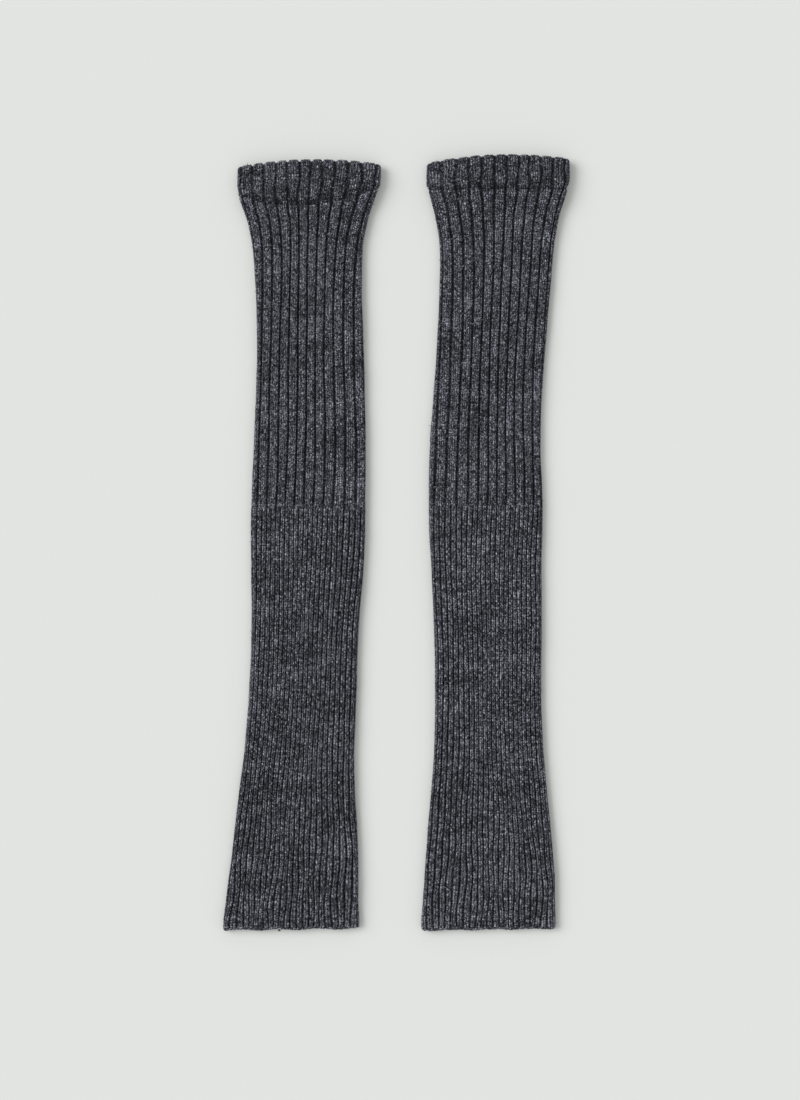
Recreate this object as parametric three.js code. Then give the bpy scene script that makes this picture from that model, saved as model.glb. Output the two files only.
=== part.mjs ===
// A pair of long ribbed wool arm warmers, lying flat side by side.
//
// Millimetres. +X runs across the pair, +Y up the arm from the hand edge to the wide top hem, and
// +Z away from the surface that the warmers lie on. Each warmer is one knitted tube pressed flat:
// a cast-off hand edge, a lower sleeve in narrow rib, an upper sleeve in wide rib, and a top hem
// of double cloth that is turned to the inside. Every piece is an open tube.

import * as THREE from "three";

// The cloth.
const SLEEVE_WALL = 2.3;
const HEM_WALL = 1.7; // each of the hem's two layers, where the rib is stretched
const HEM_LAYER_GAP = 0.3;
const EDGE_WALL = 2.5;
const SEAM_GAP = 0.3;

// Places along the tube, as heights above the hand edge.
const EDGE_TOP = 2.2;
const ROW_SPACING = 15; // between the sections of a sleeve
const HEM_ROW_SPACING = 5;

// How finely a section is divided.
const SIDE_STEPS = 5; // round each rolled side
const FLAT_STEPS = 6; // across the front, and across the back
const FOLD_STEPS = 4; // over the fold at the top of the hem

const WOOL = { color: 0x3e3f46, roughness: 0.95, metalness: 0 };

// Total thickness of the flattened tube: front, hollow and back.
const THICKNESS = [
  { at: 0, thickness: 5.8 },
  { at: 2.4, thickness: 5.4 },
  { at: 438, thickness: 5.4 },
  { at: 453, thickness: 8.2 },
  { at: 480, thickness: 8.2 },
];

// The outline: the tube's middle, measured from the pair's centre line, and its flat width.
// The knitted rows: how much higher the right side of a row is than its middle (tilt), and how
// far its middle rises above its two sides (bow).
const LEFT = {
  ribChange: 262,
  hemSeam: 455.4,
  top: 473.6,
  outline: [
    { at: 0, middle: -65.0, width: 85.5 },
    { at: 12, middle: -64.6, width: 83.5 },
    { at: 50, middle: -62.3, width: 78.4 },
    { at: 87, middle: -61.2, width: 72.2 },
    { at: 105, middle: -60.2, width: 69.0 },
    { at: 143, middle: -57.8, width: 67.0 },
    { at: 189, middle: -56.1, width: 66.8 },
    { at: 226, middle: -54.7, width: 70.2 },
    { at: 262, middle: -54.2, width: 71.4 },
    { at: 304, middle: -53.2, width: 70.0 },
    { at: 360, middle: -52.9, width: 66.8 },
    { at: 406, middle: -54.1, width: 67.0 },
    { at: 425, middle: -54.5, width: 69.0 },
    { at: 434, middle: -54.4, width: 71.5 },
    { at: 443, middle: -54.2, width: 77.2 },
    { at: 453, middle: -54.1, width: 84.8 },
    { at: 463, middle: -53.7, width: 89.2 },
    { at: 474, middle: -53.5, width: 88.0 },
  ],
  rows: [
    { at: 0, tilt: 0.6, bow: 0 },
    { at: 262, tilt: 0.5, bow: -0.5 },
    { at: 420, tilt: 0.5, bow: -1.5 },
    { at: 455.4, tilt: 2.5, bow: -7.5 },
    { at: 473.6, tilt: 0.7, bow: 3.8 },
  ],
};

const RIGHT = {
  ribChange: 263.5,
  hemSeam: 457.5,
  top: 476.4,
  outline: [
    { at: 0, middle: 56.8, width: 84.0 },
    { at: 12, middle: 57.4, width: 82.8 },
    { at: 31, middle: 58.0, width: 81.5 },
    { at: 68, middle: 57.7, width: 76.0 },
    { at: 105, middle: 57.5, width: 69.0 },
    { at: 143, middle: 57.1, width: 66.2 },
    { at: 189, middle: 56.9, width: 67.4 },
    { at: 226, middle: 55.9, width: 68.6 },
    { at: 262, middle: 55.6, width: 71.0 },
    { at: 304, middle: 55.3, width: 69.0 },
    { at: 332, middle: 56.9, width: 67.6 },
    { at: 388, middle: 60.7, width: 68.5 },
    { at: 425, middle: 62.6, width: 71.4 },
    { at: 434, middle: 62.5, width: 73.3 },
    { at: 443, middle: 62.7, width: 77.8 },
    { at: 453, middle: 63.1, width: 83.6 },
    { at: 463, middle: 63.1, width: 89.2 },
    { at: 477, middle: 63.3, width: 88.4 },
  ],
  rows: [
    { at: 0, tilt: 0.6, bow: 0 },
    { at: 263.5, tilt: 0.3, bow: 0 },
    { at: 420, tilt: 0, bow: 0 },
    { at: 457.5, tilt: 0.3, bow: 0.5 },
    { at: 476.4, tilt: 1.3, bow: 4.0 },
  ],
};

// A function of the height that gives all of a table's other columns, read straight or smoothly
// between its rows.
function reader(table, Interpolant) {
  const columns = Object.keys(table[0]).filter((name) => name !== "at");
  const heights = table.map((row) => row.at);
  const values = table.flatMap((row) => columns.map((name) => row[name]));
  const interpolant = new Interpolant(heights, values, columns.length);
  return (at) => {
    const found = interpolant.evaluate(THREE.MathUtils.clamp(at, heights[0], heights.at(-1)));
    return Object.fromEntries(columns.map((name, column) => [name, found[column]]));
  };
}

const readThickness = reader(THICKNESS, THREE.LinearInterpolant);

// The closed ring of points that lies `inset` inside the tube's outer face at one height.
function ring(tube, at, inset) {
  const { middle, width } = tube.readOutline(at);
  const { tilt, bow } = tube.readRow(at);
  const { thickness } = readThickness(at);
  const radius = thickness / 2 - inset;
  const sideX = (width - thickness) / 2;
  const points = [
    ...flat(-sideX, sideX, -radius),
    ...side(sideX, radius, -Math.PI / 2),
    ...flat(sideX, -sideX, radius),
    ...side(-sideX, radius, Math.PI / 2),
  ];
  return points.map(({ x, y }) => {
    const across = (2 * x) / width;
    const rise = tilt * across + bow * (1 - across * across);
    return new THREE.Vector3(middle + x, at + rise, thickness / 2 + y);
  });
}

// A section's straight and round stretches, each without its last point, where the next starts.
function flat(fromX, toX, z) {
  const line = new THREE.LineCurve(new THREE.Vector2(fromX, z), new THREE.Vector2(toX, z));
  return line.getPoints(FLAT_STEPS).slice(0, -1);
}

function side(x, radius, startAngle) {
  const arc = new THREE.EllipseCurve(x, 0, radius, radius, startAngle, startAngle + Math.PI);
  return arc.getPoints(SIDE_STEPS).slice(0, -1);
}

// One closed body through rings that run round the wall's own profile, so it needs no caps.
function wallBody(rings) {
  const across = rings[0].length;
  const indices = [];
  rings.forEach((_, row) => {
    const nextRow = (row + 1) % rings.length;
    for (let step = 0; step < across; step++) {
      const nextStep = (step + 1) % across;
      const a = row * across + step;
      const b = row * across + nextStep;
      const c = nextRow * across + nextStep;
      const d = nextRow * across + step;
      indices.push(a, c, b, a, d, c);
    }
  });
  const geometry = new THREE.BufferGeometry().setFromPoints(rings.flat());
  geometry.setIndex(indices);
  geometry.computeVertexNormals();
  return geometry;
}

// Evenly spaced heights from one end to the other, both included.
function heights(from, to, spacing) {
  const steps = Math.max(1, Math.round(Math.abs(to - from) / spacing));
  return Array.from({ length: steps + 1 }, (_, step) => from + ((to - from) * step) / steps);
}

// A plain tube: up its outer face and back down its inner face.
function sleeveProfile(bottom, top, wall, spacing) {
  const outer = heights(bottom, top, spacing).map((at) => ({ at, inset: 0 }));
  const inner = heights(top, bottom, spacing).map((at) => ({ at, inset: wall }));
  return [...outer, ...inner];
}

// The hem: up its outer layer, over the fold, down its inner layer and back up between the two.
function hemProfile(bottom, top) {
  const depth = 2 * HEM_WALL + HEM_LAYER_GAP;
  const foldRadius = depth / 2;
  const foldStart = top - foldRadius;
  const fold = [];
  for (let step = 1; step < FOLD_STEPS; step++) {
    const angle = (Math.PI * step) / FOLD_STEPS;
    fold.push({
      at: foldStart + foldRadius * Math.sin(angle),
      inset: foldRadius * (1 - Math.cos(angle)),
    });
  }
  return [
    ...heights(bottom, foldStart, HEM_ROW_SPACING).map((at) => ({ at, inset: 0 })),
    ...fold,
    ...heights(foldStart, bottom, HEM_ROW_SPACING).map((at) => ({ at, inset: depth })),
    { at: bottom, inset: HEM_WALL + HEM_LAYER_GAP },
    { at: foldStart, inset: HEM_WALL + HEM_LAYER_GAP },
    { at: foldStart, inset: HEM_WALL },
    { at: bottom, inset: HEM_WALL },
  ];
}

// The cast-off edge: a low ring with its corners taken off.
function edgeProfile() {
  const corner = 0.5;
  return [
    { at: 0, inset: EDGE_WALL - corner },
    { at: 0, inset: corner },
    { at: corner, inset: 0 },
    { at: EDGE_TOP - corner, inset: 0 },
    { at: EDGE_TOP, inset: corner },
    { at: EDGE_TOP, inset: EDGE_WALL - corner },
    { at: EDGE_TOP - corner, inset: EDGE_WALL },
    { at: corner, inset: EDGE_WALL },
  ];
}

function piece(name, tube, profile) {
  const rings = profile.map(({ at, inset }) => ring(tube, at, inset));
  const mesh = new THREE.Mesh(wallBody(rings), new THREE.MeshStandardMaterial(WOOL));
  mesh.name = name;
  return mesh;
}

function armWarmer(side, sizes) {
  const tube = {
    readOutline: reader(sizes.outline, THREE.CubicInterpolant),
    readRow: reader(sizes.rows, THREE.LinearInterpolant),
  };
  const half = SEAM_GAP / 2;
  const lowerEnds = [EDGE_TOP + SEAM_GAP, sizes.ribChange - half];
  const upperEnds = [sizes.ribChange + half, sizes.hemSeam - half];
  const warmer = new THREE.Group();
  warmer.add(
    piece(`${side}_cast_off_edge`, tube, edgeProfile()),
    piece(`${side}_lower_sleeve`, tube, sleeveProfile(...lowerEnds, SLEEVE_WALL, ROW_SPACING)),
    piece(`${side}_upper_sleeve`, tube, sleeveProfile(...upperEnds, SLEEVE_WALL, ROW_SPACING)),
    piece(`${side}_top_hem`, tube, hemProfile(sizes.hemSeam + half, sizes.top)),
  );
  return warmer;
}

// The pair stands on z = 0 with the middle of its box over the origin.
const pair = new THREE.Group();
pair.add(armWarmer("left", LEFT), armWarmer("right", RIGHT));
const box = new THREE.Box3().setFromObject(pair, true);
const centre = box.getCenter(new THREE.Vector3());
pair.position.set(-centre.x, -centre.y, -box.min.z);

export default pair;
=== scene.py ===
# A pair of long ribbed wool arm warmers, lying flat side by side on a pale floor.
#
# Metres, in the model's frame: +X across the pair, +Y up the arm to the top hems, +Z up off the
# floor. Each warmer is one knitted tube: a cast-off hand edge, a lower sleeve in one-by-one rib,
# an upper sleeve in two-by-two rib, and a top hem of double cloth turned to the inside.

import math

import bpy
import numpy as np
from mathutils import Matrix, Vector
from mathutils.bvhtree import BVHTree


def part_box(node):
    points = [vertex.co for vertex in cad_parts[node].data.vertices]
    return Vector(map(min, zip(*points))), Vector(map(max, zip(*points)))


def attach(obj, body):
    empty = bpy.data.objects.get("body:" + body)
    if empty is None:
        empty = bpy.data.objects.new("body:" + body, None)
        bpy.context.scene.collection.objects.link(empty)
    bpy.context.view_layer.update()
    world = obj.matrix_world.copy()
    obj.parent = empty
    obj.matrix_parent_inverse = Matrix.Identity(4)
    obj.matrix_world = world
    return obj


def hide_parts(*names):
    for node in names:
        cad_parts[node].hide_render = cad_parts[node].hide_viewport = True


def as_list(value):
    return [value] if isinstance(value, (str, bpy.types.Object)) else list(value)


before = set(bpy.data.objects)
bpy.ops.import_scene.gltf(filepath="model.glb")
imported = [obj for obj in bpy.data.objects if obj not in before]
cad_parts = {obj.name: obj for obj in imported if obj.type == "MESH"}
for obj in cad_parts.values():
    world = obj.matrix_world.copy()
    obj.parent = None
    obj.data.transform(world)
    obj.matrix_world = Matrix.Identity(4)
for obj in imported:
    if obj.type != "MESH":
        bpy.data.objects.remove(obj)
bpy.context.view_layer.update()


# ---------------------------------------------------------------- floor, light and camera
# A plain pale floor, wide soft daylight from the left and an even pale sky. The camera looks
# straight down from above the pair.

FLOOR_COLOUR = (0.765, 0.78, 0.757, 1)
FLOOR_HALF = 15.0
SKY_STRENGTH = 0.59
DAYLIGHT_FROM = Vector((-1.55, 0.45, 1.30))
DAYLIGHT_SPREAD = math.radians(42)
DAYLIGHT_STRENGTH = 2.02
VIEW_HEIGHT = 0.682
VIEW_CENTRE = (0.0025, -0.0041)
LENS_MM = 70
SENSOR_MM = 36


def plain_material(name, colour, roughness):
    material = bpy.data.materials.new(name)
    material.use_nodes = True
    shader = material.node_tree.nodes["Principled BSDF"]
    shader.inputs["Base Color"].default_value = colour
    shader.inputs["Roughness"].default_value = roughness
    return material


def add_object(name, data):
    made = bpy.data.objects.new(name, data)
    bpy.context.scene.collection.objects.link(made)
    return made


def floor():
    mesh = bpy.data.meshes.new("floor")
    corners = [(-1, -1, 0), (1, -1, 0), (1, 1, 0), (-1, 1, 0)]
    mesh.from_pydata([Vector(c) * FLOOR_HALF for c in corners], [], [(0, 1, 2, 3)])
    mesh.materials.append(plain_material("floor_paint", FLOOR_COLOUR, 0.9))
    made = add_object("floor", mesh)


def daylight():
    light = bpy.data.lights.new("daylight", "SUN")
    light.angle = DAYLIGHT_SPREAD
    light.energy = DAYLIGHT_STRENGTH
    made = add_object("daylight", light)
    made.location = DAYLIGHT_FROM
    made.rotation_euler = (-DAYLIGHT_FROM).to_track_quat("-Z", "Y").to_euler()


def sky():
    world = bpy.data.worlds.new("sky")
    world.use_nodes = True
    background = world.node_tree.nodes["Background"]
    background.inputs["Color"].default_value = (1, 1, 1, 1)
    background.inputs["Strength"].default_value = SKY_STRENGTH
    bpy.context.scene.world = world


def camera():
    data = bpy.data.cameras.new("camera")
    data.lens = LENS_MM
    data.sensor_width = SENSOR_MM
    made = add_object("camera", data)
    height = VIEW_HEIGHT * LENS_MM / SENSOR_MM
    made.location = (*VIEW_CENTRE, height)
    bpy.context.scene.camera = made


floor()
daylight()
sky()
camera()
bpy.context.scene.view_settings.view_transform = "Standard"


# ---------------------------------------------------------------- lower sleeves
# The forearm stretch of each tube, from the cast-off edge to the change of rib: charcoal melange
# wool in one-by-one rib, 48 narrow ribs round the tube. It is knitted in one with its neighbours.

SIDES = ("left", "right")
MM = 0.001
LOWER_RIBS = 48
LOWER_LENGTH = 260 * MM
LOWER_ROWS = 170
LOWER_WALE = 0.70  # a wale's width, as a share of a narrow rib and its groove
LOWER_GROOVE = 1.6 * MM
HAND_CLOSES = 9 * MM  # the grooves grow shallow this close to the hand edge
SLEEVE_WALL = 2.3 * MM
STITCH_STANDS = 0.42 * MM  # how far the yarn stands proud of the cloth under it
LOWER_SEAT = 0.12 * MM  # how far the middle of a stitch lies above that cloth
LOWER_SEED = 3
SIDE_SEED = {"left": 4, "right": 5}


def solid_tree(*nodes):
    points, faces = [], []
    for node in nodes:
        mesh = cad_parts[node].data
        faces += [[i + len(points) for i in p.vertices] for p in mesh.polygons]
        points += [v.co.copy() for v in mesh.vertices]
    return BVHTree.FromPolygons(points, faces)


class Tube:
    """One warmer's outline and the lines between its pieces, felt from its solids."""

    PIECES = ("cast_off_edge", "lower_sleeve", "upper_sleeve", "top_hem")
    TRIM = 7 * MM  # the sides are felt this far short of the ends
    STEP = 2 * MM
    ACROSS = np.linspace(-0.9, 0.9, 31)  # where a line is felt, as shares of half the width
    SOFTLY = (0.1, 0.2, 0.4, 0.2, 0.1)

    def __init__(self, side):
        nodes = [f"{side}_{piece}" for piece in self.PIECES]
        self.whole = solid_tree(*nodes)
        boxes = [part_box(node) for node in nodes]
        low, high = boxes[0][0].y + self.TRIM, boxes[-1][1].y - self.TRIM
        self.ys = np.arange(low, high, self.STEP)
        middle_x = (boxes[1][0].x + boxes[1][1].x) / 2
        self.tops = self.smooth([self.feel((middle_x, y, 1), (0, 0, -1)).z for y in self.ys])
        self.lefts = self.smooth(self.feel_side(-1))
        self.rights = self.smooth(self.feel_side(1))
        self.lines = {
            "hand": self.feel_line(nodes[0], -1, 4.5 * MM),
            "cast_on": self.feel_line(nodes[1], -1, 4.2 * MM),
            "change": self.feel_line(nodes[1], 1, 4.2 * MM),
            "linking": self.feel_line(nodes[3], -1, 7.3 * MM),
            "top": self.feel_line(nodes[3], 1, 6.35 * MM),
        }

    def feel(self, start, way):
        return self.whole.ray_cast(Vector(start), Vector(way))[0] or Vector(start)

    def feel_side(self, sign):
        found = []
        for y, top in zip(self.ys, self.tops):
            found.append(self.feel((sign, y, top / 2), (-sign, 0, 0)).x)
        return found

    def smooth(self, values):
        """The median of every seven neighbours, and then a soft average of every five."""
        padded = np.pad(np.array(values, float), 3, mode="edge")
        windows = np.lib.stride_tricks.sliding_window_view(padded, 7)
        middles = np.median(windows, axis=1)
        padded = np.pad(middles, 2, mode="edge")
        return np.convolve(padded, self.SOFTLY, mode="valid")

    def feel_line(self, node, sign, height):
        """One end of a piece as a curve over its width, felt this high off the floor."""
        tree = solid_tree(node)
        low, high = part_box(node)
        y = (low.y + high.y) / 2
        across, found = [], []
        for u in self.ACROSS:
            x = self.middle(y) + u * self.width(y) / 2
            hit = tree.ray_cast(Vector((x, sign, height)), Vector((0, -sign, 0)))[0]
            if hit:
                across.append(u)
                found.append(hit.y)
        return np.polyfit(across, found, 2)

    def level(self, bottom, top, t):
        """How far up the arm t is between two lines, in the middle of the tube."""
        return self.lines[bottom][2] * (1 - t) + self.lines[top][2] * t

    def width(self, y):
        return np.interp(y, self.ys, self.rights) - np.interp(y, self.ys, self.lefts)

    def middle(self, y):
        return (np.interp(y, self.ys, self.rights) + np.interp(y, self.ys, self.lefts)) / 2

    def thickness(self, y):
        return np.interp(y, self.ys, self.tops)

    def place(self, bottom, top, q, t, sunk=0.0, turn=0.0, fold=0.0):
        """Points and outward directions. q runs round the tube from its left side over the
        front, t up from one line to the other; past t the cloth turns over a fold."""
        y_mid = self.level(bottom, top, t)
        width, depth = self.width(y_mid), self.thickness(y_mid)
        radius = depth / 2
        straight = width - depth
        q = np.mod(q, 1.0)
        back = q >= 0.5
        arc = math.pi * radius
        along = np.where(back, q - 0.5, q) * 2 * (straight + arc)
        turn_in = np.clip(along / radius, 0, math.pi / 2)
        run = np.clip(along - arc / 2, 0, straight)
        turn_out = np.clip((along - arc / 2 - straight) / radius, 0, math.pi / 2)
        angle = turn_in + turn_out
        out_x, out_z = -np.cos(angle), np.sin(angle)
        reach = radius - sunk - fold * (1 - np.cos(turn))
        flip = np.where(back, -1.0, 1.0)
        x = flip * (run - straight / 2 + out_x * reach)
        z = radius + flip * out_z * reach
        full_x = flip * (run - straight / 2 + out_x * radius)
        u = np.clip(2 * full_x / width, -1, 1)
        low = np.polyval(self.lines[bottom], u)
        high = np.polyval(self.lines[top], u) - fold
        y = low + t * (high - low) + fold * np.sin(turn)
        x = self.middle(y) + x * self.width(y) / width
        point = np.stack([x, y, z], -1)
        rise = np.zeros_like(x) + np.sin(turn)
        flat = np.cos(turn)
        out = np.stack([flip * out_x * flat, rise, flip * out_z * flat], -1)
        return point, out


tubes = {side: Tube(side) for side in SIDES}

# Where the ribs lie round each tube: the shift of the first groove, in two-by-two repeats, how
# far the front's ribs are pushed sideways, and how far they drift to the right in the upper
# sleeve's lower half and then at the hem.
FIRST_GROOVE = {"left": 0.77, "right": 0.49}
FRONT_PUSH = {"left": -0.0125, "right": 0.0155}
CROWD = 0.0055  # how much the ribs crowd to the middle of the front and of the back
LOW_DRIFT = {"left": 0.9 * MM, "right": 2.2 * MM}
LOW_DRIFT_AT, LOW_DRIFT_REACH = 0.052, 0.050
HEM_DRIFT = {"left": 4.2 * MM, "right": -1.2 * MM}
HEM_DRIFT_FROM, HEM_DRIFT_OVER = 0.100, 0.115
SLEEVE_ROUND = 143 * MM

# The ribs' slow waves: how far they stray, as a share of the round, and at which end of the
# warmer; how many go round it, and the length up the arm of one; where they start on the left
# warmer, and how much of the right one's shift they take.
WAVES = (
    (0.0016, "both", 2, 0.21, 1.3, 1),
    (0.0012, "both", 5, -0.13, 0.0, 2),
    (0.0009, "both", 11, 0.061, 2.1, -1),
    (0.0036, "hand", 4, 0.074, 0.4, 1),
    (0.0020, "hand", 9, -0.032, 1.1, 1),
    (0.0020, "hem", 9, -0.024, 0.0, 1),
)
WAVE_SHIFT = {"left": 0.0, "right": 1.9}


def wander(side, c, y):
    """How far the ribs stray round the tube: steadily, and in slow waves up the arm."""
    turn = 2 * math.pi
    near = {
        "both": 1.0,
        "hand": np.clip((-0.10 - y) / 0.12, 0, 1),
        "hem": np.clip((y - 0.185) / 0.03, 0, 1),
    }
    waves = 0.0
    for stray, end, count, length, start, share in WAVES:
        angle = turn * (count * c + y / length) + start + WAVE_SHIFT[side] * share
        waves = waves + stray * near[end] * np.sin(angle)
    low = np.exp(-((y - LOW_DRIFT_AT) / LOW_DRIFT_REACH) ** 2)
    rise = np.clip((y - HEM_DRIFT_FROM) / HEM_DRIFT_OVER, 0, 1)
    top = rise * rise * (3 - 2 * rise)
    drift = (LOW_DRIFT[side] * low + HEM_DRIFT[side] * top) / SLEEVE_ROUND
    return FRONT_PUSH[side] * np.sin(turn * c) + CROWD * np.sin(2 * turn * c) + drift + waves


def uneven(index, seed):
    """A steady number from 0 to 1 for each rib, which looks like chance."""
    return np.mod(np.sin(index * 12.9898 + seed * 78.233) * 43758.5453, 1.0)


def groove(phase, sharpness):
    """0 on a rib's crest and 1 at the foot of the groove beside it."""
    return np.abs(2 * np.mod(phase, 1.0) - 1) ** sharpness


# Painted shade: a point this deep in a groove, or deeper, gets the full darkening of its wool's colour.
DARKEST_DEPTH = 1.5 * MM


# How deep in a groove a point lies, from 0 to 1; it sets the painted shade of its colour.
def depth_share(relief):
    return np.clip(-relief / DARKEST_DEPTH, 0, 1)


def soft_swell(c, y, seed):
    """Soft lumps in the cloth, from -0.5 to 0.5."""
    turn = 2 * math.pi
    first = np.sin(turn * (3 * c + y / 0.083) + seed)
    second = np.sin(turn * (7 * c - y / 0.047) + 2 * seed)
    return 0.5 * first * second


def rib_opening(distance, start):
    """How far a groove has opened, this far from the line where it starts."""
    return 0.35 + 0.65 * np.clip((distance - start * 0.3) / start, 0, 1)


def lower_relief(side, c, y, from_change):
    """Height of the one-by-one rib; from_change is the distance below the change of rib."""
    phase = c * LOWER_RIBS - 2 * FIRST_GROOVE[side]
    index = np.floor(phase + 0.5)
    opening = rib_opening(from_change, 1.5 * MM + 2.5 * MM * uneven(index, 5))
    from_hand = LOWER_LENGTH - from_change
    opening = opening * (0.55 + 0.45 * np.clip(from_hand / HAND_CLOSES, 0, 1))
    depth = LOWER_GROOVE * (0.85 + 0.3 * uneven(index, 1))
    swell = 0.22 * MM * soft_swell(c, y, 1.0)
    return swell - depth * opening * groove(phase, 2.6)


def sheet_mesh(name, rows, shades):
    """A closed wall from rings of points that run up the outside and back down the inside, with
    how much painted shade each point's colour gets: how deep in a groove it lies, or a fixed share."""
    count, across = rows.shape[:2]
    row, step = np.meshgrid(np.arange(count), np.arange(across), indexing="ij")
    above, beside = (row + 1) % count, (step + 1) % across
    quads = np.stack([row * across + step, row * across + beside, above * across + beside,
                      above * across + step], -1).reshape(-1, 4)
    mesh = bpy.data.meshes.new(name)
    mesh.vertices.add(count * across)
    mesh.vertices.foreach_set("co", rows.reshape(-1).astype(np.float32))
    mesh.loops.add(quads.size)
    mesh.loops.foreach_set("vertex_index", quads.reshape(-1).astype(np.int32))
    mesh.polygons.add(len(quads))
    mesh.polygons.foreach_set("loop_start", np.arange(0, quads.size, 4, dtype=np.int32))
    mesh.update(calc_edges=True)
    mesh.polygons.foreach_set("use_smooth", np.ones(len(quads), bool))
    chart = mesh.uv_layers.new(name="OFBake")
    u = np.stack([step, step + 1, step + 1, step], -1) / across
    v = np.stack([row, row, row + 1, row + 1], -1) / count
    chart.uv.foreach_set("vector", np.stack([u, v], -1).reshape(-1).astype(np.float32))
    # The painted shade of each point's colour, kept as the 'deep' attribute.
    deep = mesh.attributes.new("deep", "FLOAT", "POINT")
    deep.data.foreach_set("value", shades.reshape(-1).astype(np.float32))
    mesh.validate()
    mesh.materials.append(shaded_ground_wool)
    return add_object(name, mesh)


class Socket:
    """A node's output, which sums are written with."""

    def __init__(self, tree, link):
        self.tree, self.link = tree, link

    def beside(self, output):
        """Another output of the same node."""
        return Socket(self.tree, self.link.node.outputs[output])

    def sum_with(self, operation, first, second):
        return wool_node(self.tree, "ShaderNodeMath", {"operation": operation}, {0: first, 1: second})

    def __add__(self, other):
        return self.sum_with("ADD", self, other)

    def __radd__(self, other):
        return self.sum_with("ADD", other, self)

    def __sub__(self, other):
        return self.sum_with("SUBTRACT", self, other)

    def __rsub__(self, other):
        return self.sum_with("SUBTRACT", other, self)

    def __mul__(self, other):
        return self.sum_with("MULTIPLY", self, other)

    def __rmul__(self, other):
        return self.sum_with("MULTIPLY", other, self)

    def __pow__(self, other):
        return self.sum_with("POWER", self, other)

    def __rpow__(self, other):
        return self.sum_with("POWER", other, self)


def wool_node(tree, kind, settings, inputs, output=0):
    """Adds one node, with its settings and then the values or links of its sockets."""
    node = tree.nodes.new(kind)
    for name, value in settings.items():
        if name == "stops":
            ramp = node.color_ramp
            while len(ramp.elements) < len(value):
                ramp.elements.new(0.5)
            for element, (place, colour) in zip(ramp.elements, value):
                element.position = place
                element.color = (*colour, 1)
        else:
            setattr(node, name, value)
    by_identifier = {socket.identifier: socket for socket in node.inputs}
    for key, value in inputs.items():
        socket = by_identifier[key] if key in by_identifier else node.inputs[key]
        if isinstance(value, Socket):
            tree.links.new(value.link, socket)
        else:
            socket.default_value = value
    return Socket(tree, node.outputs[output])


# Dark wool with lighter blue-grey fibres carded in, from the deepest to the palest.
MELANGE = (
    (0.00, (0.005, 0.005, 0.007)),
    (0.28, (0.026, 0.027, 0.033)),
    (0.50, (0.074, 0.076, 0.093)),
    (0.70, (0.145, 0.150, 0.180)),
    (0.87, (0.270, 0.280, 0.325)),
    (1.00, (0.450, 0.465, 0.520)),
)
MELANGE_MIDDLE = 0.81  # the usual sum of the flecks, tufts and patches
MELANGE_CONTRAST = 2.5
# Painted shade: the wool's colour darkens with the 'deep' attribute, most at the feet of the grooves
# and on the hidden inside faces.
PAINTED_SHADE = 0.38  # how far the wool darkens from a rib's crest to the foot of a groove


def melange_wool(name, per_stitch, shade):
    """Matt wool: fine flecks, soft patches along the rows and a tone of its own for each stitch; shade
    sets its level, and painted shade darkens the colour where the 'deep' attribute says.
    """
    material = bpy.data.materials.new(name)
    material.use_nodes = True
    tree = material.node_tree
    shader = tree.nodes["Principled BSDF"]
    where = wool_node(tree, "ShaderNodeTexCoord", {}, {}, "Object")

    def noise(scale, stretch, detail):
        mapped = wool_node(tree, "ShaderNodeMapping", {}, {"Vector": where, "Scale": stretch})
        grain = {"Vector": mapped, "Scale": scale, "Detail": detail, "Roughness": 0.6}
        return wool_node(tree, "ShaderNodeTexNoise", {}, grain)

    flecks = noise(1650, (1, 0.65, 1), 2.0)
    tufts = noise(520, (1, 0.7, 1), 1.0)
    patches = noise(75, (0.4, 1, 1), 2.0)
    mix = flecks * 1.25 + tufts * 0.20 + patches * 0.17
    if per_stitch:
        tone = wool_node(tree, "ShaderNodeAttribute", {"attribute_name": "tone"}, {}, "Fac")
        mix = mix + tone * per_stitch
    # Painted shade: the 'deep' attribute darkens the colour in the grooves and on the inside.
    deep = wool_node(tree, "ShaderNodeAttribute", {"attribute_name": "deep"}, {}, "Fac")
    middle = MELANGE_MIDDLE + per_stitch / 2
    value = (mix - middle) * MELANGE_CONTRAST + shade - deep * PAINTED_SHADE
    colour = wool_node(tree, "ShaderNodeValToRGB", {"stops": MELANGE}, {0: value})
    tree.links.new(colour.link, shader.inputs["Base Color"])
    rough = {"Strength": 0.5, "Distance": 0.15 * MM, "Height": flecks + tufts}
    bump = wool_node(tree, "ShaderNodeBump", {}, rough)
    tree.links.new(bump.link, shader.inputs["Normal"])
    shader.inputs["Roughness"].default_value = 0.92
    shader.inputs["Specular IOR Level"].default_value = 0.15
    shader.inputs["Sheen Weight"].default_value = 0.04
    shader.inputs["Sheen Roughness"].default_value = 0.5
    shader.inputs["Sheen Tint"].default_value = (0.75, 0.78, 0.85, 1)
    return material


# The ground cloth shows mostly at the feet of the grooves and on the hidden inside, so it is a darker
# copy of the stitches' wool: painted shade.
shaded_ground_wool = melange_wool("wool_ground_painted_shade", 0, 0.40)
stitch_wool = melange_wool("wool_stitches", 0.16, 0.535)


def open_tree(name, kinds):
    """A new tree with named inputs of these kinds, and their sockets."""
    tree = bpy.data.node_groups.new(name, "GeometryNodeTree")
    for label, kind in kinds.items():
        tree.interface.new_socket(label, in_out="INPUT", socket_type=f"NodeSocket{kind}")
    tree.interface.new_socket("Geometry", in_out="OUTPUT", socket_type="NodeSocketGeometry")
    given = tree.nodes.new("NodeGroupInput").outputs
    return tree, {label: Socket(tree, given[label]) for label in kinds}


def close_tree(tree, instances, yarn):
    real = wool_node(tree, "GeometryNodeRealizeInstances", {}, {"Geometry": instances})
    done = wool_node(tree, "GeometryNodeSetMaterial", {}, {"Geometry": real, "Material": yarn})
    outcome = tree.nodes.new("NodeGroupOutput")
    tree.links.new(done.link, outcome.inputs["Geometry"])
    return tree


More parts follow.
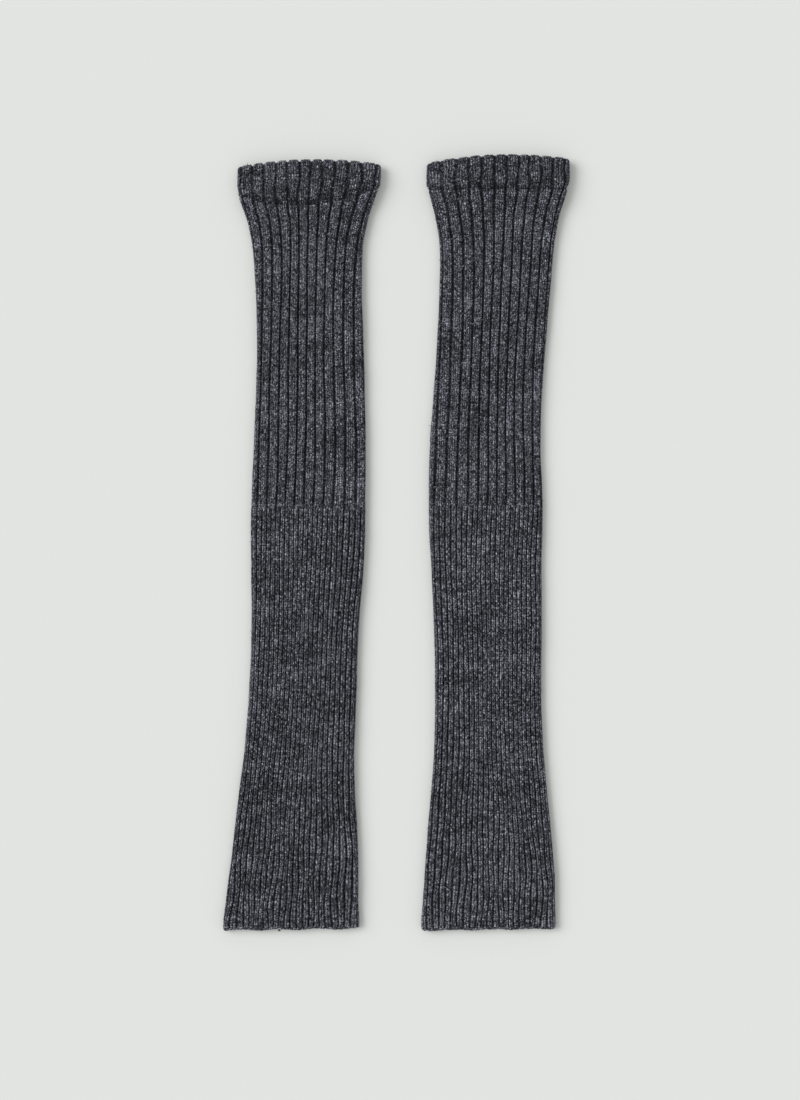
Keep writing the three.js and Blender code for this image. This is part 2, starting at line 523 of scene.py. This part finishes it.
def knit_tree():
    """One plump leg of yarn on every point, leaning as its point says, with a tone of its own."""
    tree, given = open_tree("knit_legs", {
        "Geometry": "Geometry",
        "Leg Length": "Float",
        "Leg Height": "Float",
        "Tuck": "Float",
        "Seed": "Int",
        "Yarn": "Material",
    })

    def of_point(name, kind):
        return wool_node(tree, "GeometryNodeInputNamedAttribute", {"data_type": kind}, {"Name": name})

    def chance(low, high, offset):
        ends = {"Min_001": low, "Max_001": high, "Seed": given["Seed"] + offset}
        return wool_node(tree, "FunctionNodeRandomValue", {"data_type": "FLOAT"}, ends, 1)

    ends = {"Start": (0, -0.5, 0), "End": (0, 0.5, 0)}
    line = wool_node(tree, "GeometryNodeCurvePrimitiveLine", {}, ends)
    line = wool_node(tree, "GeometryNodeResampleCurve", {}, {"Curve": line, "Count": 4})
    along = wool_node(tree, "GeometryNodeSplineParameter", {}, {}, "Factor")
    taper = 1.0 - (along * 2.0 - 1.0) ** 4.0
    ring = wool_node(tree, "GeometryNodeCurvePrimitiveCircle", {}, {"Resolution": 3, "Radius": 0.6})
    leg = wool_node(tree, "GeometryNodeCurveToMesh", {},
                    {"Curve": line, "Profile Curve": ring, "Scale": taper})
    leg = wool_node(tree, "GeometryNodeMergeByDistance", {}, {"Geometry": leg, "Distance": 0.01})
    leg = wool_node(tree, "GeometryNodeSetShadeSmooth", {}, {"Geometry": leg})

    facing = wool_node(tree, "FunctionNodeAxesToRotation",
                       {"primary_axis": "Z", "secondary_axis": "Y"},
                       {"Primary Axis": of_point("out", "FLOAT_VECTOR"),
                        "Secondary Axis": of_point("up", "FLOAT_VECTOR")})
    lean = of_point("lean", "FLOAT") + chance(-0.10, 0.10, 1.0)
    tuck = given["Tuck"] + chance(-0.07, 0.07, 2.0)
    turned = wool_node(tree, "ShaderNodeCombineXYZ", {}, {"X": tuck, "Z": lean})
    turned = wool_node(tree, "FunctionNodeEulerToRotation", {}, {"Euler": turned})
    facing = wool_node(tree, "FunctionNodeRotateRotation", {"rotation_space": "LOCAL"},
                       {"Rotation": facing, "Rotate By": turned})
    fat = of_point("width", "FLOAT") * chance(0.88, 1.14, 3.0)
    size = wool_node(tree, "ShaderNodeCombineXYZ", {},
                     {"X": fat, "Y": given["Leg Length"], "Z": given["Leg Height"]})
    legs = wool_node(tree, "GeometryNodeInstanceOnPoints", {},
                     {"Points": given["Geometry"], "Instance": leg, "Rotation": facing, "Scale": size})
    toned = wool_node(tree, "GeometryNodeStoreNamedAttribute",
                      {"data_type": "FLOAT", "domain": "INSTANCE"},
                      {"Geometry": legs, "Name": "tone", "Value": chance(0.0, 1.0, 4.0)})
    return close_tree(tree, toned, given["Yarn"])


knit_legs = knit_tree()


def keep_off_floor(mesh):
    """The yarn underneath is pressed flat by the weight of the cloth."""
    places = np.empty(len(mesh.vertices) * 3, np.float32)
    mesh.vertices.foreach_get("co", places)
    places[2::3] = np.maximum(places[2::3], 0)
    mesh.vertices.foreach_set("co", places)
    mesh.update()


def made_plain(name, source, tree, values):
    """Runs a node tree on an object and keeps the outcome as a plain mesh of its own."""
    modifier = source.modifiers.new("made", "NODES")
    modifier.node_group = tree
    for item in tree.interface.items_tree:
        if item.in_out == "INPUT" and item.name in values:
            modifier[item.identifier] = values[item.name]
    graph = bpy.context.evaluated_depsgraph_get()
    mesh = bpy.data.meshes.new_from_object(source.evaluated_get(graph))
    source.modifiers.remove(modifier)
    mesh.name = name
    keep_off_floor(mesh)
    return add_object(name, mesh)


def unit(vectors):
    return vectors / np.linalg.norm(vectors, axis=-1, keepdims=True)


ROW = 1.52 * MM  # from one knitted row to the next
LEG_LENGTH = 1.45 * ROW
LEG_HEIGHT = 0.75 * MM
LEG_LEAN = math.radians(23)
LEG_TUCK = math.radians(9)
USUAL_LEG = 1.2 * MM  # a wider leg than this leans more


def yarn_legs(name, places, ups, outs, leans, widths, shades, length, height, seed):
    """Lays a leg of yarn on every place and keeps them all as one plain mesh."""
    mesh = bpy.data.meshes.new(name + "_places")
    mesh.vertices.add(places.size // 3)
    mesh.vertices.foreach_set("co", places.reshape(-1).astype(np.float32))
    for label, kind, key, values in (
        ("up", "FLOAT_VECTOR", "vector", ups),
        ("out", "FLOAT_VECTOR", "vector", outs),
        ("lean", "FLOAT", "value", leans),
        ("width", "FLOAT", "value", widths),
        ("deep", "FLOAT", "value", shades),
    ):
        attribute = mesh.attributes.new(label, kind, "POINT")
        attribute.data.foreach_set(key, values.reshape(-1).astype(np.float32))
    points = add_object(name + "_places", mesh)
    values = {"Leg Length": length, "Leg Height": height, "Tuck": LEG_TUCK, "Seed": seed,
              "Yarn": stitch_wool}
    made = made_plain(name, points, knit_legs, values)
    bpy.data.objects.remove(points)
    return made


def knit_stitches(name, surface, wales, rows, share, seed, seat):
    """Pairs of leaning legs up every wale. surface(c, t) gives the cloth under them, wales are
    the places round the tube, and share is a wale's width as a share of the whole round."""
    leg, wale, row = np.meshgrid([-1.0, 1.0], wales, (np.arange(rows) + 0.5) / rows, indexing="ij")
    c = wale + leg * share * 0.25
    step_c, step_t = share * 0.12, 0.35 / rows
    place, relief = surface(c, row)
    up = unit(surface(c, row + step_t)[0] - surface(c, row - step_t)[0])
    across = surface(c + step_c, row)[0] - surface(c - step_c, row)[0]
    out = unit(np.cross(across, up))
    width = np.linalg.norm(across, axis=-1) / (2 * step_c) * share * 0.50
    # The upper end of a left-hand leg leans left, so the pair opens upwards like a V.
    lean = -leg * (LEG_LEAN + 0.10 * (width / USUAL_LEG - 1))
    # Legs lying low in a groove get painted shade by how deep they lie.
    return yarn_legs(name, place + out * seat, up, out, lean, width, depth_share(relief),
                     LEG_LENGTH, LEG_HEIGHT, seed)


fibre_wool = plain_material("wool_fibres", (0.24, 0.245, 0.27, 1), 0.9)
FIBRES_PER_AREA = 17000.0  # a square metre
FIBRE_WIDTH = 0.030 * MM
FIBRE_LENGTH = 1.15 * MM
FIBRE_BEND = 14.0  # how far its tip bends aside, in fibre widths
FIBRE_TILT = 1.35  # how far it may lie over, in radians


def fuzz_tree():
    """Fine bent fibres scattered over the outer face of the cloth, most of them lying low."""
    tree, given = open_tree("stray_fibres", {
        "Geometry": "Geometry",
        "Density": "Float",
        "Fibre Width": "Float",
        "Fibre Length": "Float",
        "Seed": "Int",
        "Yarn": "Material",
    })
    deep = wool_node(tree, "GeometryNodeInputNamedAttribute", {"data_type": "FLOAT"}, {"Name": "deep"})
    outer = wool_node(tree, "ShaderNodeMath", {"operation": "LESS_THAN"}, {0: deep, 1: 0.7})
    spread = wool_node(tree, "GeometryNodeDistributePointsOnFaces", {"distribute_method": "RANDOM"},
                       {"Mesh": given["Geometry"], "Selection": outer,
                        "Density": given["Density"], "Seed": given["Seed"]})
    line = wool_node(tree, "GeometryNodeCurvePrimitiveLine", {}, {"End": (0, 0, 1)})
    fibre = wool_node(tree, "GeometryNodeResampleCurve", {}, {"Curve": line, "Count": 3})
    along = wool_node(tree, "GeometryNodeSplineParameter", {}, {}, "Factor")
    bend = wool_node(tree, "ShaderNodeCombineXYZ", {}, {"X": along ** 2.0 * FIBRE_BEND})
    fibre = wool_node(tree, "GeometryNodeSetPosition", {}, {"Geometry": fibre, "Offset": bend})
    ring = wool_node(tree, "GeometryNodeCurvePrimitiveCircle", {}, {"Resolution": 3, "Radius": 1.0})
    fibre = wool_node(tree, "GeometryNodeCurveToMesh", {}, {"Curve": fibre, "Profile Curve": ring})
    fibre = wool_node(tree, "GeometryNodeSetShadeSmooth", {}, {"Geometry": fibre})
    ends = {"Min": (-FIBRE_TILT, -FIBRE_TILT, -3.14), "Max": (FIBRE_TILT, FIBRE_TILT, 3.14),
            "Seed": given["Seed"]}
    fallen = wool_node(tree, "FunctionNodeRandomValue", {"data_type": "FLOAT_VECTOR"}, ends)
    turned = wool_node(tree, "FunctionNodeEulerToRotation", {}, {"Euler": fallen})
    facing = wool_node(tree, "FunctionNodeRotateRotation", {"rotation_space": "LOCAL"},
                       {"Rotation": spread.beside("Rotation"), "Rotate By": turned})
    size = wool_node(tree, "ShaderNodeCombineXYZ", {},
                     {"X": given["Fibre Width"], "Y": given["Fibre Width"], "Z": given["Fibre Length"]})
    fibres = wool_node(tree, "GeometryNodeInstanceOnPoints", {},
                       {"Points": spread, "Instance": fibre, "Rotation": facing, "Scale": size})
    return close_tree(tree, fibres, given["Yarn"])


stray_fibres = fuzz_tree()


def fuzz(name, cloth, seed):
    values = {"Density": FIBRES_PER_AREA, "Fibre Width": FIBRE_WIDTH, "Fibre Length": FIBRE_LENGTH,
              "Seed": seed, "Yarn": fibre_wool}
    return made_plain(name, cloth, stray_fibres, values)


def outer_rings(surface, around, heights):
    """Rings up the outside of a wall, and how deep in a groove each of their points lies."""
    c = np.arange(around) / around
    found = [surface(c, np.full(around, t)) for t in heights]
    return [point for point, _ in found], [depth_share(relief) for _, relief in found]


def sleeve_wall(side, surface, lines, around, outer, inner):
    """Rings up the outside of a sleeve and back down its smooth inside."""
    tube = tubes[side]
    rings, shades = outer_rings(surface, around, np.linspace(0, 1, outer))
    c = np.arange(around) / around
    for t in np.linspace(1, 0, inner):
        q = c + wander(side, c, tube.level(*lines, t))
        rings.append(tube.place(*lines, q, np.full(around, t), SLEEVE_WALL)[0])
        # The inside faces get the full painted shade.
        shades.append(np.ones(around))
    return np.array(rings), np.array(shades)


def finish_as_wool(*pieces):
    for piece in pieces:
        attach(piece, "root")


def knitted_piece(side, part, surface, wall, wales, rows, share, seed, seat):
    """One piece's cloth, with the stitches and the stray fibres that lie on it."""
    cloth = sheet_mesh(f"{side}_{part}_cloth", *wall)
    stitches = knit_stitches(f"{side}_{part}_stitches", surface, wales, rows, share, seed, seat)
    fibres = fuzz(f"{side}_{part}_fuzz", cloth, seed + SIDE_SEED[side])
    finish_as_wool(cloth, stitches, fibres)
    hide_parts(f"{side}_{part}")
    return cloth, stitches, fibres


def lower_surface(side):
    tube = tubes[side]

    def surface(c, t):
        y_mid = tube.level("cast_on", "change", t)
        relief = lower_relief(side, c, y_mid, (1 - t) * LOWER_LENGTH)
        q = c + wander(side, c, y_mid)
        point, out = tube.place("cast_on", "change", q, t, STITCH_STANDS)
        return point + out * relief[..., None], relief

    return surface


def lower_sleeve(side):
    surface = lower_surface(side)
    wall = sleeve_wall(side, surface, ("cast_on", "change"), LOWER_RIBS * 8, 46, 10)
    wales = (np.arange(LOWER_RIBS) + 0.5 + 2 * FIRST_GROOVE[side]) / LOWER_RIBS
    return knitted_piece(side, "lower_sleeve", surface, wall, wales, LOWER_ROWS,
                         LOWER_WALE / LOWER_RIBS, LOWER_SEED, LOWER_SEAT)


lower_sleeves = {side: lower_sleeve(side) for side in SIDES}


# ---------------------------------------------------------------- upper sleeves
# The stretch from the change of rib up to the hem, in two-by-two rib: 24 wide ribs of two wales
# each round the tube, with deep narrow grooves where the purl wales have closed up.

WIDE_RIBS = 24
WIDE_WALES = (0.315, 0.685)  # the two knitted wales of one repeat, as shares of it
WIDE_WALE = 0.36  # a wale's width, as a share of a repeat
WIDE_GROOVE = 1.75 * MM
WIDE_VALLEY = 0.30 * MM  # the dip between the two wales
UPPER_LENGTH = 193 * MM
UPPER_ROWS = 127
UPPER_SEAT = 0.10 * MM
UPPER_SEED = 17


def wide_relief(side, c, y, depth, valley):
    """Height of the two-by-two rib."""
    phase = c * WIDE_RIBS - FIRST_GROOVE[side]
    index = np.floor(phase + 0.5)
    deep = depth * (0.88 + 0.24 * uneven(index, 2))
    middle = np.exp(-((2 * np.mod(phase, 1.0) - 1) / 0.16) ** 2)
    swell = 0.25 * MM * soft_swell(c, y, 2.0)
    return swell - deep * groove(phase, 3.4) - valley * middle


def upper_surface(side):
    tube = tubes[side]

    def surface(c, t):
        y_mid = tube.level("change", "linking", t)
        index = np.floor(c * WIDE_RIBS - FIRST_GROOVE[side] + 0.5)
        opening = rib_opening(t * UPPER_LENGTH, 0.5 * MM + 3.5 * MM * uneven(index, 7))
        relief = wide_relief(side, c, y_mid, WIDE_GROOVE * opening, WIDE_VALLEY)
        q = c + wander(side, c, y_mid)
        point, out = tube.place("change", "linking", q, t, STITCH_STANDS)
        return point + out * relief[..., None], relief

    return surface


def wide_wales(side):
    repeats = np.arange(WIDE_RIBS)[:, None] + np.array(WIDE_WALES)[None, :]
    return ((repeats + FIRST_GROOVE[side]) / WIDE_RIBS).reshape(-1)


def upper_sleeve(side):
    surface = upper_surface(side)
    wall = sleeve_wall(side, surface, ("change", "linking"), WIDE_RIBS * 12, 42, 8)
    cloth, *on_it = knitted_piece(side, "upper_sleeve", surface, wall, wide_wales(side), UPPER_ROWS,
                                  WIDE_WALE / WIDE_RIBS, UPPER_SEED, UPPER_SEAT)
    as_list(on_it)


for side in SIDES:
    upper_sleeve(side)


# ---------------------------------------------------------------- top hems
# The wide end: the two-by-two rib goes on over a rounded fold and back down inside, where it is
# linked to the sleeve. The linking line pulls a shallow uneven trough with small puckers.

HEM_WALL = 1.7 * MM
HEM_GAP = 0.3 * MM
HEM_FOLD = HEM_WALL + HEM_GAP / 2
HEM_GROOVE = 1.3 * MM
HEM_VALLEY = 0.15 * MM
HEM_STANDS = 0.35 * MM
# Painted shade over the whole hem, through the groove shade.
HEM_SHADE = 0.25 * MM  # the hem looks as dark as cloth this much deeper
TROUGH_DEPTH = 0.75 * MM
PUCKER_HEIGHT = 0.34 * MM
TOP_DROP = 0.6 * MM  # how far the soft fold settles below a full round one
FOLD_SHARE = 0.22  # of the path up the hem, the part that goes over the fold
HEM_ROWS = 21
HEM_SEAT = 0.05 * MM
HEM_SEED = 29


def hem_path(t):
    """t from 0 to 1 runs up the outside and over the fold: height, and turn over the fold."""
    height = np.clip(t / (1 - FOLD_SHARE), 0, 1)
    turn = np.clip((t - 1 + FOLD_SHARE) / FOLD_SHARE, 0, 1) * math.pi
    return height, turn


def linking_pull(rib, height):
    """The uneven trough just over the linking line, and the puckers that spread up from it."""
    trough = np.exp(-((height - 0.05 - 0.05 * np.sin(rib * 2.1)) / 0.10) ** 2)
    fading = np.exp(-((height - 0.2) / 0.25) ** 2)
    pucker = np.sin(2 * math.pi * (rib * 0.62 + height * 1.4)) * fading
    return PUCKER_HEIGHT * pucker - TROUGH_DEPTH * trough


def hem_surface(side):
    tube = tubes[side]

    def surface(c, t):
        height, turn = hem_path(t)
        y_mid = tube.level("linking", "top", height)
        relief = wide_relief(side, c, y_mid, HEM_GROOVE, HEM_VALLEY)
        relief = relief + linking_pull(c * WIDE_RIBS, height)
        q = c + wander(side, c, y_mid)
        point, out = tube.place("linking", "top", q, height, HEM_STANDS, turn, HEM_FOLD)
        point[..., 1] -= TOP_DROP * height
        # The whole hem takes painted groove shade as if HEM_SHADE deeper.
        return point + out * relief[..., None], relief - HEM_SHADE

    return surface


def top_hem(side):
    tube, surface = tubes[side], hem_surface(side)
    around = WIDE_RIBS * 12
    up = np.linspace(0, 1 - FOLD_SHARE, 12)
    over = np.linspace(1 - FOLD_SHARE, 1, 7)[1:]
    rings, shades = outer_rings(surface, around, np.concatenate([up, over]))
    # Down the inside, and up and down again in the slit between the two layers.
    inside = 2 * HEM_WALL + HEM_GAP
    slit_in, slit_out = HEM_WALL + HEM_GAP, HEM_WALL + 0.02 * MM
    c = np.arange(around) / around
    q = c + wander(side, c, tube.lines["top"][2])
    for height, sunk in ((0.8, inside), (0.5, inside), (0.2, inside), (0.0, inside),
                         (0.0, slit_in), (1.0, slit_in), (1.0, slit_out), (0.0, slit_out)):
        rings.append(tube.place("linking", "top", q, np.full(around, height), sunk, 0.0, HEM_FOLD)[0])
        # These inner faces get the full painted shade.
        shades.append(np.ones(around))
    wall = np.array(rings), np.array(shades)
    cloth, *on_it = knitted_piece(side, "top_hem", surface, wall, wide_wales(side), HEM_ROWS,
                                  WIDE_WALE / WIDE_RIBS, HEM_SEED, HEM_SEAT)
    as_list(on_it)


for side in SIDES:
    top_hem(side)


# ---------------------------------------------------------------- cast-off edges
# The chain that closes the last row round the hand end: 96 small links lying along the edge over
# a thin roll of cloth. The left one ends in a short yarn tail that was never trimmed off.

EDGE_WALL = 2.5 * MM
EDGE_RISE = 2.5 * MM  # how far the middle of the roll lies up from the hand end
# Painted shade on the roll of cloth and its chain, as shares of the full groove shade.
ROLL_SHADE = 0.5
EDGE_LINKS = 96
CHAIN_AT = (0.04, 0.17)  # how far round the roll its two rows of links lie
LINK_LENGTH = 2.5 * MM
LINK_HEIGHT = 0.9 * MM
LINK_WIDTH = 1.1 * MM
LINK_LEAN = 0.30
LINK_SHADE = 0.25
TAIL_LINK = 21  # just left of the middle
TAIL_HANGS = 1.3 * MM
TAIL_WAYS = ((0.5, -1, 0), (1, -0.6, 0))
EDGE_SEED = 41


def edge_surface(side):
    tube = tubes[side]

    def surface(c, t):
        """t goes round the roll: 0 is its outer face, 0.25 its hand end."""
        angle = 2 * math.pi * t
        q = c + wander(side, c, tube.lines["hand"][2])
        scallop = 0.35 * MM * groove(c * LOWER_RIBS - 2 * FIRST_GROOVE[side], 1.5)
        sunk = 0.3 * MM + scallop + (EDGE_WALL / 2) * (1 - np.cos(angle))
        point, _ = tube.place("hand", "cast_on", q, np.zeros_like(c), sunk)
        wavy = 0.5 * MM * np.sin(2 * math.pi * (7 * c + FIRST_GROOVE[side]))
        point[..., 1] += EDGE_RISE + wavy * (1 - t) - (1.0 * MM - scallop) * np.sin(angle)
        return point

    return surface


def cast_off_edge(side):
    surface = edge_surface(side)
    around = EDGE_LINKS * 2
    c = np.arange(around) / around
    rings = [surface(c, np.full(around, -t)) for t in np.linspace(0, 1, 8, endpoint=False)]
    # The roll gets an even painted shade.
    shades = np.full((len(rings), around), ROLL_SHADE)
    cloth = sheet_mesh(f"{side}_cast_off_cloth", np.array(rings), shades)
    tall, link = np.meshgrid(CHAIN_AT, (np.arange(EDGE_LINKS) + 0.5) / EDGE_LINKS, indexing="ij")
    place = surface(link, tall)
    up = unit(surface(link + 0.002, tall) - surface(link - 0.002, tall))
    out = unit(np.cross(up, surface(link, tall + 0.02) - surface(link, tall - 0.02)))
    lean = np.where(tall > CHAIN_AT[0], LINK_LEAN, -LINK_LEAN)
    if side == "left":
        place[:, TAIL_LINK, 1] -= TAIL_HANGS
        up[:, TAIL_LINK] = unit(np.array(TAIL_WAYS))
    chain = yarn_legs(f"{side}_cast_off_chain", place, up, out, lean, np.full(lean.shape, LINK_WIDTH),
                      np.full(lean.shape, LINK_SHADE), LINK_LENGTH, LINK_HEIGHT, EDGE_SEED)
    finish_as_wool(cloth, chain)
    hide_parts(f"{side}_cast_off_edge")
    return cloth, chain


for side in SIDES:
    sleeve, *on_sleeve = lower_sleeves[side]
    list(on_sleeve)
    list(cast_off_edge(side))
